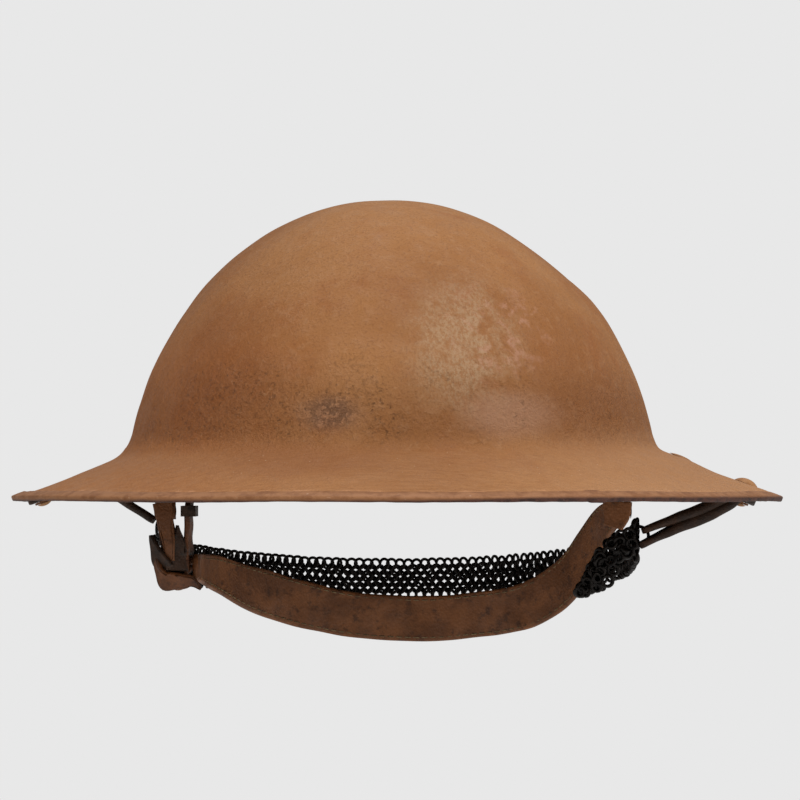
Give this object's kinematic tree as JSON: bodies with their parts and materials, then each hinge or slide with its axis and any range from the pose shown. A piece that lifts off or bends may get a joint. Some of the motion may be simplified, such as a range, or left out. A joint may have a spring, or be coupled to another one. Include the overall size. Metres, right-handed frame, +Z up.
{
  "type": "brodie helmet",
  "caption": "Shallow steel helmet with a wide brim, riveted hangers, padded net liner, leather chin strap and a mail strip hung across the face side.",
  "frame": {"origin": "middle of the plane of the brim's lower edge, on the head opening's axis", "axes": "+Z up through the crown, +Y to the face side where the mail and chin strap hang, +X to the right in the picture"},
  "size_m": [0.2904, 0.3052, 0.1696],
  "materials": {
    "steel": "old khaki paint over rust, matt",
    "binding": "dark rusted folded strip",
    "rivet": "dull, rusted",
    "wire": "dark oxidised wire",
    "keeper": "tarnished",
    "mail": "near-black oxidised links",
    "strap": "aged brown leather",
    "dark_leather": "dark aged leather",
    "liner_leather": "dark oilcloth and leather, worn",
    "net": "cotton cord net, soiled",
    "felt": "matted felt",
    "rubber": "perished rubber"
  },
  "bodies": {
    "helmet": {"shell": "steel", "rim_binding": "binding", "crown_rivet": "rivet", "crown_washer": "rivet", "liner_washer": "rivet", "crown_felt_pad": "felt", "liner_cap": "liner_leather", "liner_net": "net", "net_draw_cord": "net", "liner_band": "liner_leather", "rubber_spacers": "rubber", "right_bale_bracket": "steel", "left_bale_bracket": "steel", "right_pivot_pin": "rivet", "left_pivot_pin": "rivet", "right_bale_rivet": "rivet", "left_bale_rivet": "rivet", "right_brim_strap": "dark_leather", "left_brim_strap": "dark_leather", "right_brim_rivet": "rivet", "left_brim_rivet": "rivet", "right_brim_washer": "rivet", "left_brim_washer": "rivet", "right_link_ring": "mail", "left_link_ring": "mail"},
    "strap": {"right_bale": "wire", "left_bale": "wire", "right_strap_tab": "strap", "left_strap_tab": "dark_leather", "right_tab_rivet": "rivet", "left_tab_rivet": "rivet", "left_strap_loop": "strap", "strap_end_rivet": "rivet", "chin_strap": "strap"},
    "keeper": {"strap_keeper": "keeper"},
    "mail": {"mail_strip": "mail"}
  },
  "joints": [
    {"name": "chin_strap_swing", "type": "hinge", "parent": "helmet", "child": "strap", "pos_m": [0, 0, 0.011], "axis": [1, 0, 0], "range_deg": [-80, 12]},
    {"name": "mail_swing", "type": "hinge", "parent": "helmet", "child": "mail", "pos_m": [0, 0, -0.0128], "axis": [1, 0, 0], "range_deg": [-100, 20]},
    {"name": "keeper_slide", "type": "slide", "parent": "strap", "child": "keeper", "axis": [0, 0, 1], "range_m": [-0.0045, 0.0015]}
  ]
}
